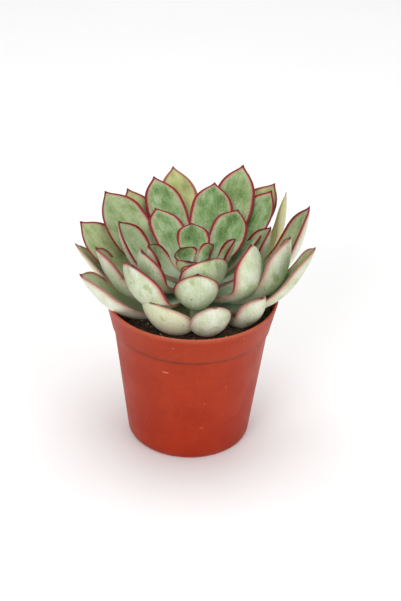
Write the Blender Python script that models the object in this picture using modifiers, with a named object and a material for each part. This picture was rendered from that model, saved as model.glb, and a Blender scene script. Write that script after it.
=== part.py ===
"""A rosette succulent growing in a round plastic nursery pot.

The pot stands on z = 0 with its axis on Z. The soil fills it to a little below
the rim, a short stem stands in the soil, and every leaf is a separate solid
seated on the stem. Lengths are metres unless a name says millimetres.
"""

import math
from collections import namedtuple

import bmesh
import bpy
from mathutils import Vector
from mathutils.bvhtree import BVHTree

MM = 0.001

# ---- driving sizes ---------------------------------------------------------

SEAT_GAP = 0.0003  # left between pieces that lie on each other

# pot
POT_HEIGHT = 0.0965
RIM_RADIUS = 0.0525  # outside, at the lip
RIM_TAPER = 0.0039  # the rim band is this much smaller at its foot
RIM_STEP = 0.0012  # and the wall under it is set in by this much more
RIM_FOOT_RADIUS = RIM_RADIUS - RIM_TAPER
SHOULDER_RADIUS = RIM_FOOT_RADIUS - RIM_STEP
RIM_BAND_HEIGHT = 0.0191
WALL_TAPER = 0.0095  # from the shoulder down to the base
BASE_RADIUS = SHOULDER_RADIUS - WALL_TAPER
WALL = 0.0016
FLOOR = 0.0024
BASE_EDGE = 0.0016  # rounding where the wall meets the floor
LIP_EDGE = 0.0005
DRAIN_COUNT = 6
DRAIN_RADIUS = 0.0040
DRAIN_CIRCLE = 0.66  # share of the base's radius
DRAIN_STEPS = 16
POT_STEPS = 48

# soil
SOIL_DROP = 0.0090  # from the lip down to the soil at the wall
SOIL_CROWN = 0.0012  # rise of the soil towards the stem
CROWN_REACH = 3.0  # stem foot radii over which the soil is heaped
CROWN_EDGE = 0.7  # share of the rise that is left there

# stem
STEM_FOOT_RADIUS = 0.0075
STEM_TOP_RADIUS = 0.0042
STEM_HEIGHT = 0.0260  # above the soil at the wall
STEM_DEPTH = 0.0080  # below it
STEM_STEPS = 16
DOME_HEIGHT = 0.6  # share of the stem's top radius
DOME_SHOULDER = 0.25  # share of the dome's height that its top flat loses

# rosette
ROSETTE_SCALE = 1.0  # reach, height and width of all leaves together
LEAF_THICKNESS = 0.15  # share of the leaf's width, at its thickest
MARGIN_THICKNESS = 0.0006
BASE_REACH = 0.0025  # where each midrib starts, inside the stem
BASE_WIDTH = 0.30  # share of the leaf's width, at the stem
TOP_BASE = 16.5 * MM  # midrib starts above the lip: youngest leaf
LOW_BASE = -5.5 * MM  # and oldest leaf
BASE_FADE = 14.0  # leaves over which the start drops towards the oldest
CROWN_TILT = 2.0 * MM  # back starts are this much higher, front ones lower

# A leaf's form: half of the angle that its cross-section bends through, how much
# of the midrib's curl is gathered at one place, and how far towards the tip that is.
Form = namedtuple("Form", "cup bend delay")
FLAT = Form(24, 0.6, 0.8)
OPEN = Form(35, 0.6, 0.8)
CUPPED = Form(60, 0.6, 0.8)
CURVED = Form(55, 0.8, 1.1)
SCOOP = Form(60, 1.0, 1.0)
HOOD = Form(45, 1.0, 1.2)
SHELL = Form(26, 1.0, 1.0)
BUD = Form(50, 0.6, 0.8)

# name, order from the heart, azimuth in degrees, tip reach and tip height above
# the lip in millimetres, curl of the midrib in degrees, width in millimetres,
# form, degrees that the foot lags behind the tip, roll about the midrib in
# degrees, millimetres that the foot sits above its usual height
FIELDS = "name order azimuth reach height curl width form sweep roll lift"
Leaf = namedtuple("Leaf", FIELDS, defaults=(0, 0, 0))
LEAVES = [
    Leaf("heart_leaf_1", 0, 30, 14, 31, 25, 15, BUD, 0, -10),
    Leaf("heart_leaf_2", 1, 130, 12, 26.5, 30, 19, BUD),
    Leaf("heart_leaf_3", 2, 256, 10, 28.5, 60, 20, BUD),
    Leaf("heart_leaf_4", 5, 268, 13, 28, 70, 15, BUD),
    Leaf("heart_leaf_5", 6, 5, 25, 38, 50, 15, CUPPED),
    Leaf("inner_leaf_1", 3, 93, 29, 33, 30, 21, FLAT, 6),
    Leaf("inner_leaf_2", 4, 299, 18, 34, 70, 36, HOOD, 0, 0, -6),
    Leaf("inner_leaf_3", 7, 160, 29, 27.5, 80, 28, SCOOP, 0, 20),
    Leaf("inner_leaf_4", 8, 276, 28, 30.5, 90, 30, HOOD, 0, 0, -4),
    Leaf("inner_leaf_5", 9, 56, 48, 37.5, 40, 26, FLAT, 6),
    Leaf("inner_leaf_6", 10, 208, 33.5, 38, 70, 33, HOOD),
    Leaf("inner_leaf_7", 11, 333, 37, 45, 92, 36, HOOD, -6, 0, -4),
    Leaf("inner_leaf_8", 12, 118, 52, 33.5, 30, 23, FLAT, 9),
    Leaf("middle_leaf_1", 14, 22, 50, 37.5, 78, 30, CURVED, 0, -16),
    Leaf("middle_leaf_2", 15, 158, 49, 38.5, 75, 28, CUPPED),
    Leaf("middle_leaf_3", 17, 78, 58, 47, 30, 28, FLAT, 6),
    Leaf("middle_leaf_4", 18, 224, 48, 38.5, 75, 38, SHELL, 0, 0, 3),
    Leaf("middle_leaf_5", 19, 351, 57, 46.5, 92, 35, SCOOP, 0, -14, 3),
    Leaf("middle_leaf_6", 20, 113, 67, 47.5, 35, 26, FLAT, 7),
    Leaf("middle_leaf_7", 21, 288, 44, 17.5, 110, 28, HOOD, 0, 0, 3),
    Leaf("middle_leaf_8", 22, 45, 67, 47.5, 40, 27, OPEN),
    Leaf("middle_leaf_9", 23, 182, 58, 31.5, 78, 29, SCOOP, 0, 16, 2),
    Leaf("middle_leaf_10", 24, 322, 52, 18.5, 106, 29, SCOOP, -14, -10, 4.5),
    Leaf("outer_leaf_1", 25, 101, 76, 48.5, 30, 25, FLAT, 5),
    Leaf("outer_leaf_2", 26, 236, 43, 16, 95, 35, HOOD, -25),
    Leaf("outer_leaf_3", 27, 12, 70, 54.5, 75, 28, CURVED, 0, -4),
    Leaf("outer_leaf_4", 28, 147, 65.5, 49.5, 50, 34, OPEN, 4, -10),
    Leaf("outer_leaf_5", 30, 65, 70, 56.5, 35, 28, FLAT, 4),
    Leaf("outer_leaf_6", 31, 200, 70, 25.5, 75, 30, CUPPED, 0, 0, -2),
    Leaf("outer_leaf_7", 32, 342, 74, 47.5, 72, 30, OPEN, -4, 1, -3),
    Leaf("outer_leaf_8", 33, 129, 67, 43.5, 35, 26, OPEN, 0, 0, -2),
    Leaf("old_leaf_1", 35, 33, 66, 52.5, 85, 18, HOOD, 0, -40),
    Leaf("old_leaf_2", 36, 168, 70, 39.5, 50, 31, OPEN, 0, -17),
    Leaf("old_leaf_3", 38, 83, 74, 27.5, 40, 27, OPEN),
    Leaf("old_leaf_4", 41, 133, 66, 21.5, 40, 26, OPEN),
    Leaf("old_leaf_5", 43, 48, 74, 48.5, 30, 30, OPEN, -4),
    Leaf("old_leaf_6", 29, 177, 71, 30.5, 62, 22, OPEN, 0, 12, -4),
]

# Width along a leaf as a share of its greatest width: a narrow foot, broad
# shoulders and a short sharp point. Thickness along it in the same way.
RING_PLACES = (0.0, 0.15, 0.31, 0.47, 0.62, 0.75, 0.86, 0.94)
WIDTH_CURVE = [(0.0, BASE_WIDTH), (0.12, 0.38), (0.28, 0.56), (0.45, 0.80), (0.58, 0.95), (0.69, 1.0),
               (0.79, 0.95), (0.85, 0.84), (0.90, 0.64), (0.94, 0.39), (1.0, 0.0)]
THICK_CURVE = [(0.0, 0.6), (0.12, 0.85), (0.35, 1.0), (0.6, 0.95), (0.85, 0.52), (0.95, 0.24), (1.0, 0.1)]
CUP_CURVE = [(0.0, 0.6), (0.2, 0.85), (0.5, 1.0), (0.8, 1.0), (1.0, 0.9)]
SECTION_POWER = 1.7  # how squarely the thickness runs out to the margins
ROLL_POWER = 0.7  # how soon along the midrib the roll sets in
SWEEP_POWER = 1.5  # how soon the sweep is made good
SECTION_SPANS = 4  # facets across a leaf's upper face, and across its lower face
UPPER_SHARE = 0.25  # of the thickness that lies above the midrib
MIDRIB_STEPS = 80

# colour, roughness
TERRACOTTA = ((0.45, 0.09, 0.04), 0.45)
POTTING_SOIL = ((0.03, 0.02, 0.015), 0.95)
STEM_GREEN = ((0.20, 0.22, 0.10), 0.70)
LEAF_GREEN = ((0.26, 0.42, 0.22), 0.50)


# ---- scene helpers ---------------------------------------------------------


def clear_scene():
    """Remove every object that the file starts with."""
    for thing in list(bpy.data.objects):
        bpy.data.objects.remove(thing, do_unlink=True)


def new_collection(name):
    """Make a collection and link it to the scene."""
    group = bpy.data.collections.new(name)
    bpy.context.scene.collection.children.link(group)
    return group


def make_material(name, finish):
    """Make a Principled material from a (colour, roughness) pair."""
    colour, roughness = finish
    material = bpy.data.materials.new(name)
    material.use_nodes = True
    shader = material.node_tree.nodes["Principled BSDF"]
    shader.inputs["Base Color"].default_value = (*colour, 1.0)
    shader.inputs["Roughness"].default_value = roughness
    shader.inputs["Metallic"].default_value = 0.0
    return material


def add_mesh_object(name, points, faces, group, material=None):
    """Make an object from points and faces, and link it to a collection."""
    mesh = bpy.data.meshes.new(name)
    mesh.from_pydata([tuple(point) for point in points], [], faces)
    mesh.update()
    body = bpy.data.objects.new(name, mesh)
    group.objects.link(body)
    if material is not None:
        mesh.materials.append(material)
        mesh.shade_smooth()
        mesh.set_sharp_from_angle(angle=math.radians(35))
    return body


def hide_cutter(body):
    """Mark an object as a cutter: drawn as wire and left out of renders."""
    body.hide_render = True
    body.display_type = "WIRE"
    return body


def turn_profile(name, profile, steps, group, material=None):
    """Turn an (r, z) profile, listed from the top down its outer side, about Z."""
    points = [(radius, 0.0, height) for radius, height in profile]
    edges = [(i, i + 1) for i in range(len(points) - 1)]
    mesh = bpy.data.meshes.new(name)
    mesh.from_pydata(points, edges, [])
    body = bpy.data.objects.new(name, mesh)
    group.objects.link(body)
    screw = body.modifiers.new("turn", "SCREW")
    screw.steps = steps
    screw.render_steps = steps
    screw.use_merge_vertices = True
    screw.merge_threshold = 0.00001
    screw.use_smooth_shade = True
    if material is not None:
        mesh.materials.append(material)
    return body


def bake_modifiers(body):
    """Replace an object's mesh with what its modifiers make of it."""
    bpy.context.view_layer.update()
    evaluated = body.evaluated_get(bpy.context.evaluated_depsgraph_get())
    baked = bpy.data.meshes.new_from_object(evaluated)
    body.modifiers.clear()
    body.data = baked


def cut_from(body, cutter):
    """Add a Boolean that takes the cutter away from the body."""
    cut = body.modifiers.new("cut", "BOOLEAN")
    cut.operation = "DIFFERENCE"
    cut.object = cutter


# ---- pot, soil and stem ----------------------------------------------------


def inner_wall_radius(height):
    """Return the radius of the pot's inner face at a height."""
    band_foot = POT_HEIGHT - RIM_BAND_HEIGHT
    if height >= band_foot:
        share = (height - band_foot) / RIM_BAND_HEIGHT
        return RIM_FOOT_RADIUS + (RIM_RADIUS - RIM_FOOT_RADIUS) * share - WALL
    return BASE_RADIUS + (SHOULDER_RADIUS - BASE_RADIUS) * height / band_foot - WALL


def arc_points(centre_r, centre_z, radius, start, end, count):
    """Return points on a circular arc in the (r, z) plane, angles in degrees."""
    points = []
    for i in range(count + 1):
        angle = math.radians(start + (end - start) * i / count)
        points.append((centre_r + radius * math.cos(angle), centre_z + radius * math.sin(angle)))
    return points


def build_pot(group, cutters, material):
    """A thin tapered pot with a rim band, a rounded foot and drain holes."""
    band_foot = POT_HEIGHT - RIM_BAND_HEIGHT
    profile = [(0.0, FLOOR), (inner_wall_radius(FLOOR), FLOOR)]
    profile += [(inner_wall_radius(band_foot - WALL), band_foot - WALL)]
    profile += [(inner_wall_radius(band_foot), band_foot)]
    profile += [(inner_wall_radius(POT_HEIGHT), POT_HEIGHT - LIP_EDGE)]
    profile += [(inner_wall_radius(POT_HEIGHT) + LIP_EDGE, POT_HEIGHT)]
    profile += [(RIM_RADIUS - LIP_EDGE, POT_HEIGHT), (RIM_RADIUS, POT_HEIGHT - LIP_EDGE)]
    profile += [(RIM_FOOT_RADIUS, band_foot), (SHOULDER_RADIUS, band_foot)]
    profile += arc_points(BASE_RADIUS - BASE_EDGE, BASE_EDGE, BASE_EDGE, 0, -90, 3) + [(0.0, 0.0)]
    pot = turn_profile("pot", profile, POT_STEPS, group, material)
    circle = BASE_RADIUS * DRAIN_CIRCLE
    for i in range(DRAIN_COUNT):
        angle = math.tau * i / DRAIN_COUNT
        place = (circle * math.cos(angle), circle * math.sin(angle), FLOOR / 2)
        depth = 4 * FLOOR
        bpy.ops.mesh.primitive_cylinder_add(
            vertices=DRAIN_STEPS, radius=DRAIN_RADIUS, depth=depth, location=place)
        drill = bpy.context.object
        drill.name = f"drain_drill_{i + 1}"
        for owner in list(drill.users_collection):
            owner.objects.unlink(drill)
        cutters.objects.link(hide_cutter(drill))
        cut_from(pot, drill)
    return pot


def build_soil(group, material):
    """The block of soil inside the pot, with a socket for the stem."""
    surface = POT_HEIGHT - SOIL_DROP
    bottom = FLOOR + SEAT_GAP
    band_foot = POT_HEIGHT - RIM_BAND_HEIGHT
    socket = STEM_FOOT_RADIUS + SEAT_GAP
    crown = surface + SOIL_CROWN
    profile = [(0.0, surface - STEM_DEPTH - SEAT_GAP), (socket, surface - STEM_DEPTH - SEAT_GAP)]
    heap = surface + SOIL_CROWN * CROWN_EDGE
    profile += [(socket, crown), (STEM_FOOT_RADIUS * CROWN_REACH, heap)]
    profile += [(inner_wall_radius(surface) - SEAT_GAP, surface)]
    profile += [(inner_wall_radius(band_foot) - SEAT_GAP, band_foot)]
    profile += [(inner_wall_radius(band_foot - WALL) - SEAT_GAP, band_foot - WALL)]
    profile += [(inner_wall_radius(bottom) - SEAT_GAP, bottom), (0.0, bottom)]
    return turn_profile("soil", profile, POT_STEPS, group, material)


def stem_profile(swell):
    """Return the stem's (r, z) profile, grown outwards by swell."""
    surface = POT_HEIGHT - SOIL_DROP
    top = surface + STEM_HEIGHT
    foot = surface - STEM_DEPTH
    dome = STEM_TOP_RADIUS * DOME_HEIGHT
    slant = swell * math.sin(math.radians(45))
    profile = [(0.0, top + swell)]
    profile += [(STEM_TOP_RADIUS * DOME_HEIGHT + slant, top - dome * DOME_SHOULDER + slant)]
    profile += [(STEM_TOP_RADIUS + swell, top - dome), (STEM_FOOT_RADIUS + swell, surface)]
    profile += [(STEM_FOOT_RADIUS + swell, foot - swell), (0.0, foot - swell)]
    return profile


# ---- leaves ----------------------------------------------------------------


def read_curve(curve, place):
    """Read a list of (place, value) points with straight lines between them."""
    for (a, low), (b, high) in zip(curve, curve[1:]):
        if place <= b:
            return low + (high - low) * (place - a) / (b - a)
    return curve[-1][1]


def midrib(leaf):
    """Return a function that gives a leaf's midrib as (r, z, slope) at 0..1."""
    scale = ROSETTE_SCALE * MM
    curl = math.radians(leaf.curl)
    fade = math.exp(-leaf.order / BASE_FADE)
    start_z = POT_HEIGHT + LOW_BASE + (TOP_BASE - LOW_BASE) * fade + leaf.lift * MM
    start_z += CROWN_TILT * math.sin(math.radians(leaf.azimuth))
    run = leaf.reach * scale - BASE_REACH
    rise = POT_HEIGHT + leaf.height * scale - start_z

    def turned(place):
        """Share of the curl that is done at a place along the midrib."""
        eased = place**leaf.form.delay
        return eased - leaf.form.bend * math.sin(math.tau * eased) / math.tau

    track = [(0.0, 0.0)]
    for i in range(MIDRIB_STEPS):
        slope = curl * turned((i + 0.5) / MIDRIB_STEPS)
        last = track[-1]
        track.append((last[0] + math.cos(slope) / MIDRIB_STEPS, last[1] + math.sin(slope) / MIDRIB_STEPS))
    end = track[-1]
    length = math.hypot(run, rise) / math.hypot(*end)
    first_slope = math.atan2(rise, run) - math.atan2(end[1], end[0])

    def at(place):
        """Return radius, height and slope of the midrib at a place from 0 to 1."""
        step = min(int(place * MIDRIB_STEPS), MIDRIB_STEPS - 1)
        part = place * MIDRIB_STEPS - step
        x = track[step][0] + (track[step + 1][0] - track[step][0]) * part
        y = track[step][1] + (track[step + 1][1] - track[step][1]) * part
        radius = BASE_REACH + length * (x * math.cos(first_slope) - y * math.sin(first_slope))
        height = start_z + length * (x * math.sin(first_slope) + y * math.cos(first_slope))
        return radius, height, first_slope + curl * turned(place)

    return at


def leaf_ring(leaf, at, place, swell):
    """Return one ring of points round a leaf, grown outwards by swell."""
    radius, height, slope = at(place)
    width = leaf.width * MM * ROSETTE_SCALE
    half = read_curve(WIDTH_CURVE, place) * width / 2
    thick = read_curve(THICK_CURVE, place) * width * LEAF_THICKNESS
    cup = math.radians(leaf.form.cup) * read_curve(CUP_CURVE, place)
    roll = math.radians(leaf.roll) * place**ROLL_POWER
    azimuth = math.radians(leaf.azimuth - leaf.sweep * (1.0 - place**SWEEP_POWER))
    outward = Vector((math.cos(azimuth), math.sin(azimuth), 0.0))
    sideways = Vector((-math.sin(azimuth), math.cos(azimuth), 0.0))
    along = outward * math.cos(slope) + Vector((0, 0, 1)) * math.sin(slope)
    normal = outward * -math.sin(slope) + Vector((0, 0, 1)) * math.cos(slope)
    centre = outward * radius + Vector((0, 0, height))
    if place == 0.0:
        centre -= along * swell
    ring = []
    for face in (1, -1):
        share = UPPER_SHARE if face > 0 else 1.0 - UPPER_SHARE
        for i in range(SECTION_SPANS + 1):
            t = face * (1.0 - 2.0 * i / SECTION_SPANS)
            depth = face * (share * thick * (1.0 - abs(t) ** SECTION_POWER) + MARGIN_THICKNESS / 2 + swell)
            bend = cup * t
            across = (half + swell) * math.sin(bend) / cup - depth * math.sin(bend)
            up = (half + swell) * (1.0 - math.cos(bend)) / cup + depth * math.cos(bend)
            turned_across = across * math.cos(roll) - up * math.sin(roll)
            turned_up = across * math.sin(roll) + up * math.cos(roll)
            ring.append(centre + sideways * turned_across + normal * turned_up)
    return ring


def leaf_shape(leaf, swell=0.0):
    """Return the points and faces of a closed leaf, grown outwards by swell."""
    at = midrib(leaf)
    points = []
    for place in RING_PLACES:
        points += leaf_ring(leaf, at, place, swell)
    sides = 2 * (SECTION_SPANS + 1)
    faces = [tuple(reversed(range(sides)))]
    for first in range(0, sides * (len(RING_PLACES) - 1), sides):
        for i in range(sides):
            j = (i + 1) % sides
            faces.append((first + i, first + j, first + sides + j))
            faces.append((first + i, first + sides + j, first + sides + i))
    radius, height, slope = at(1.0)
    azimuth = math.radians(leaf.azimuth)
    radius += swell * math.cos(slope)
    height += swell * math.sin(slope)
    points.append(Vector((radius * math.cos(azimuth), radius * math.sin(azimuth), height)))
    last = sides * (len(RING_PLACES) - 1)
    for i in range(sides):
        faces.append((last + i, last + (i + 1) % sides, len(points) - 1))
    return points, faces


def keep_main_piece(mesh):
    """Delete the crumbs that a cut leaves beside a leaf's largest piece."""
    bm = bmesh.new()
    bm.from_mesh(mesh)
    left = set(bm.verts)
    pieces = []
    while left:
        reached = [left.pop()]
        piece = set(reached)
        while reached:
            vert = reached.pop()
            for edge in vert.link_edges:
                other = edge.other_vert(vert)
                if other in left:
                    left.remove(other)
                    piece.add(other)
                    reached.append(other)
        faces = {face for vert in piece for face in vert.link_faces}
        pieces.append((sum(face.calc_area() for face in faces), piece))
    largest = max(area for area, piece in pieces)
    for area, piece in pieces:
        if area < largest:
            bmesh.ops.delete(bm, geom=list(piece), context="VERTS")
    bm.to_mesh(mesh)
    bm.free()


def tree_of(body):
    """Return a search tree of an object's mesh."""
    mesh = body.data
    corners = [vert.co for vert in mesh.vertices]
    return BVHTree.FromPolygons(corners, [tuple(face.vertices) for face in mesh.polygons])


def build_leaves(group, cutters, firm, material):
    """Build the leaves from the heart outwards.

    A leaf is pressed by the firm pieces and by the younger leaves that it would
    run into, so it is cut back to the seat gap from each of them.
    """
    shells = [(shell, tree_of(shell)) for shell in firm]
    for leaf in sorted(LEAVES, key=lambda one: one.order):
        body = add_mesh_object(leaf.name, *leaf_shape(leaf), group, material)
        tree = tree_of(body)
        pressing = [shell for shell, shell_tree in shells if tree.overlap(shell_tree)]
        if pressing:
            for shell in pressing:
                cut_from(body, shell)
            bake_modifiers(body)
            keep_main_piece(body.data)
        shell = add_mesh_object(leaf.name + "_shell", *leaf_shape(leaf, SEAT_GAP), cutters)
        shells.append((hide_cutter(shell), tree_of(shell)))


# ---- the whole object ------------------------------------------------------


def build_firm_shells(cutters):
    """Swollen copies of the stem, pot wall and soil, for the leaves to rest on."""
    stem_shell = turn_profile("stem_shell", stem_profile(SEAT_GAP), STEM_STEPS, cutters)
    lip_in = inner_wall_radius(POT_HEIGHT) - SEAT_GAP
    soil_in = inner_wall_radius(POT_HEIGHT - SOIL_DROP) - SEAT_GAP
    surface = POT_HEIGHT - SOIL_DROP
    lip_top = POT_HEIGHT + SEAT_GAP
    crown = surface + SOIL_CROWN + SEAT_GAP
    profile = [(0.0, crown), (STEM_FOOT_RADIUS * CROWN_REACH, crown)]
    profile += [(soil_in, surface + SEAT_GAP), (lip_in, lip_top)]
    profile += [(RIM_RADIUS + SEAT_GAP, lip_top), (BASE_RADIUS, 0.0), (0.0, 0.0)]
    pot_shell = turn_profile("pot_and_soil_shell", profile, POT_STEPS, cutters)
    for shell in (stem_shell, pot_shell):
        bake_modifiers(shell)
        hide_cutter(shell)
    return [stem_shell, pot_shell]


def main():
    """Build the potted succulent."""
    clear_scene()
    parts = new_collection("potted_succulent")
    cutters = new_collection("cutters")
    build_pot(parts, cutters, make_material("terracotta_plastic", TERRACOTTA))
    build_soil(parts, make_material("potting_soil", POTTING_SOIL))
    turn_profile("stem", stem_profile(0.0), STEM_STEPS, parts, make_material("stem_green", STEM_GREEN))
    firm = build_firm_shells(cutters)
    build_leaves(parts, cutters, firm, make_material("leaf_green", LEAF_GREEN))


main()
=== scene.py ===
"""Looks of a rosette succulent that grows in a round plastic nursery pot.

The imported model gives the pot, the soil, the stem and one solid per leaf. This
script dresses them: a fine skin for each leaf, a turned pot with its scuffs, and
a bed of loose soil. Lengths are metres unless a name says millimetres.
"""

import logging
import math
from dataclasses import dataclass, field
from enum import Enum
from itertools import combinations
from typing import Any, Sequence

import bmesh
import bpy
import numpy as np
from mathutils import Matrix, Vector, noise


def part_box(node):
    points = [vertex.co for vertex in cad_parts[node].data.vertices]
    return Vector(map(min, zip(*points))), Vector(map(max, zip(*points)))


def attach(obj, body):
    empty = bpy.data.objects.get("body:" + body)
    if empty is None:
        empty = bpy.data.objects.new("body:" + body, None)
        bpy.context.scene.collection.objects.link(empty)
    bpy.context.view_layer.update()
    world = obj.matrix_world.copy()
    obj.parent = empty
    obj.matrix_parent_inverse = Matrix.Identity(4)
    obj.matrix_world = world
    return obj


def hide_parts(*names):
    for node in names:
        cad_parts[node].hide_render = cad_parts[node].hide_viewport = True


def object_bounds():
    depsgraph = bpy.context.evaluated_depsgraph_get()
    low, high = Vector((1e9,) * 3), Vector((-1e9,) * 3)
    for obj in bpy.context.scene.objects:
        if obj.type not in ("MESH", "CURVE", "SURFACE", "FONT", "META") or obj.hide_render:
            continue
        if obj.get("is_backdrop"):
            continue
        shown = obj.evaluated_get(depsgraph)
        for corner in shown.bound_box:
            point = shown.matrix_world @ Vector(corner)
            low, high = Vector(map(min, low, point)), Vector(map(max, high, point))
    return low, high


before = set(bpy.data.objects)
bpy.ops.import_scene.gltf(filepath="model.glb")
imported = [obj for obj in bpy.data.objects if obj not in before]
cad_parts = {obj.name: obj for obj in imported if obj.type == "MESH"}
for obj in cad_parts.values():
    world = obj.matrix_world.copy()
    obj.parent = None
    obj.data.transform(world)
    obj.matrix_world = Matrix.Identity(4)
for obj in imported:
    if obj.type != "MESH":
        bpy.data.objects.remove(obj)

log = logging.getLogger("potted_succulent")

MM = 0.001
BODY = "root"

Colour = tuple[float, float, float]
Socket = bpy.types.NodeSocket
Curve = Sequence[tuple[float, float]]
Span = tuple[float, float]
Stretch = tuple[float, float, float]
# Profile rows: the third value is how worn the spot is, which on the lip is partly a painted
# highlight.
Profile = list[tuple[float, float, float]]  # radius, height, wear


def tint(red: int, green: int, blue: int) -> Colour:
    """Turn a display colour into the linear colour that shaders use.

    Args:
        red: Red from 0 to 255.
        green: Green from 0 to 255.
        blue: Blue from 0 to 255.

    Returns:
        The linear colour.
    """
    shares = [value / 255 for value in (red, green, blue)]
    return tuple(s / 12.92 if s <= 0.04045 else ((s + 0.055) / 1.055) ** 2.4 for s in shares)


# ---- bench for materials ---------------------------------------------------


class Bench:
    """Lays out the nodes of one material with short calls."""

    def __init__(self, name: str) -> None:
        """Start an empty material.

        Args:
            name: The material's name.
        """
        self.material = bpy.data.materials.new(name)
        self.material.use_nodes = True
        self.tree = self.material.node_tree
        self.tree.nodes.clear()

    def put(self, kind: str, plugs: dict[Any, Any] | None = None,
            **settings: Any) -> bpy.types.Node:
        """Add a node.

        Args:
            kind: The node's type without its "ShaderNode" start.
            plugs: Values or sockets for the node's inputs, by name or number.
            **settings: Properties to set on the node.

        Returns:
            The new node.
        """
        node = self.tree.nodes.new("ShaderNode" + kind)
        for key, value in settings.items():
            setattr(node, key, value)
        for key, value in (plugs or {}).items():
            if isinstance(value, bpy.types.NodeSocket):
                self.tree.links.new(value, node.inputs[key])
            else:
                node.inputs[key].default_value = value
        return node

    def number(self, name: str) -> Socket:
        """Return a number that the mesh carries at its points."""
        return self.put("Attribute", attribute_name=name).outputs["Fac"]

    def arrow(self, name: str) -> Socket:
        """Return a vector that the mesh carries at its points."""
        return self.put("Attribute", attribute_name=name).outputs["Vector"]

    def place(self) -> Socket:
        """Return the point's place in the object, in metres."""
        return self.put("TexCoord").outputs["Object"]

    def stretch(self, where: Socket, scale: Stretch) -> Socket:
        """Return a place scaled along its three axes."""
        return self.put("Mapping", {"Vector": where, "Scale": scale}).outputs["Vector"]

    def maths(self, operation: str, first: Any, second: Any) -> Socket:
        """Return the result of a sum on numbers.

        Args:
            operation: Blender's name of the sum.
            first: A socket or number.
            second: A socket or number.

        Returns:
            The result's socket.
        """
        return self.put("Math", {0: first, 1: second}, operation=operation).outputs["Value"]

    def weigh(self, *parts: tuple[Socket, float]) -> Socket:
        """Add numbers up, each by its weight.

        Args:
            *parts: Pairs of a number's socket and its weight.

        Returns:
            The sum's socket.
        """
        first, *others = [self.maths("MULTIPLY", value, weight) for value, weight in parts]
        for other in others:
            first = self.maths("ADD", first, other)
        return first

    def ease(self, value: Socket, start: float, end: float, low: float = 0.0,
             high: float = 1.0) -> Socket:
        """Return a smooth step of a value.

        Args:
            value: The number to read.
            start: Where the step starts; it may lie above its end.
            end: Where the step ends.
            low: The result at the start.
            high: The result at the end.

        Returns:
            The step's socket.
        """
        plugs = {"Value": value, "From Min": start, "From Max": end, "To Min": low, "To Max": high}
        node = self.put("MapRange", plugs, interpolation_type="SMOOTHSTEP")
        return node.outputs["Result"]

    def cloud(self, where: Socket, scale: float, detail: float = 3.0,
              rough: float = 0.5) -> Socket:
        """Return soft noise from 0 to 1.

        Args:
            where: The place to read it at.
            scale: Features per unit of the place.
            detail: Octaves.
            rough: Strength of each octave against the one before.

        Returns:
            The noise's socket.
        """
        plugs = {"Vector": where, "Scale": scale, "Detail": detail, "Roughness": rough}
        return self.put("TexNoise", plugs).outputs["Fac"]

    def cells(self, where: Socket, scale: float) -> bpy.types.Node:
        """Return a cell pattern node, with Distance and Color outputs."""
        return self.put("TexVoronoi", {"Vector": where, "Scale": scale})

    def blend(self, amount: Any, low: Any, high: Any, kind: str = "MIX") -> Socket:
        """Mix two colours.

        Args:
            amount: Share of the second colour.
            low: The first colour, a socket or three numbers.
            high: The second colour.
            kind: Blender's name of the way to mix.

        Returns:
            The mixed colour's socket.
        """
        plugs = {0: amount}
        for key, colour in ((6, low), (7, high)):
            plugs[key] = colour if isinstance(colour, bpy.types.NodeSocket) else (*colour, 1.0)
        node = self.put("Mix", plugs, data_type="RGBA", blend_type=kind)
        return node.outputs[2]

    def ramp(self, value: Socket, stops: Sequence[tuple[float, Colour]]) -> Socket:
        """Read a row of colours with a number.

        Args:
            value: The number from 0 to 1.
            stops: Places and their colours, lowest place first.

        Returns:
            The colour's socket.
        """
        node = self.put("ValToRGB", {"Fac": value})
        band = node.color_ramp.elements
        while len(band) < len(stops):
            band.new(0.5)
        for element, (place, colour) in zip(band, stops):
            element.position = place
            element.color = (*colour, 1.0)
        return node.outputs["Color"]

    def dent(self, height: Socket, depth: float, under: Socket | None = None) -> Socket:
        """Turn a height into a bumped normal.

        Args:
            height: Height from 0 to 1.
            depth: Depth of the relief in metres.
            under: A bumped normal to lie on.

        Returns:
            The normal's socket.
        """
        plugs = {"Height": height, "Distance": depth, "Strength": 1.0}
        if under is not None:
            plugs["Normal"] = under
        return self.put("Bump", plugs).outputs["Normal"]

    def close(self, plugs: dict[str, Any]) -> bpy.types.Material:
        """Finish the material with its shader.

        Args:
            plugs: Values or sockets for the shader's inputs.

        Returns:
            The material.
        """
        shader = self.put("BsdfPrincipled", plugs)
        self.put("OutputMaterial", {"Surface": shader.outputs["BSDF"]})
        return self.material


# ---- finishes --------------------------------------------------------------


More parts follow.
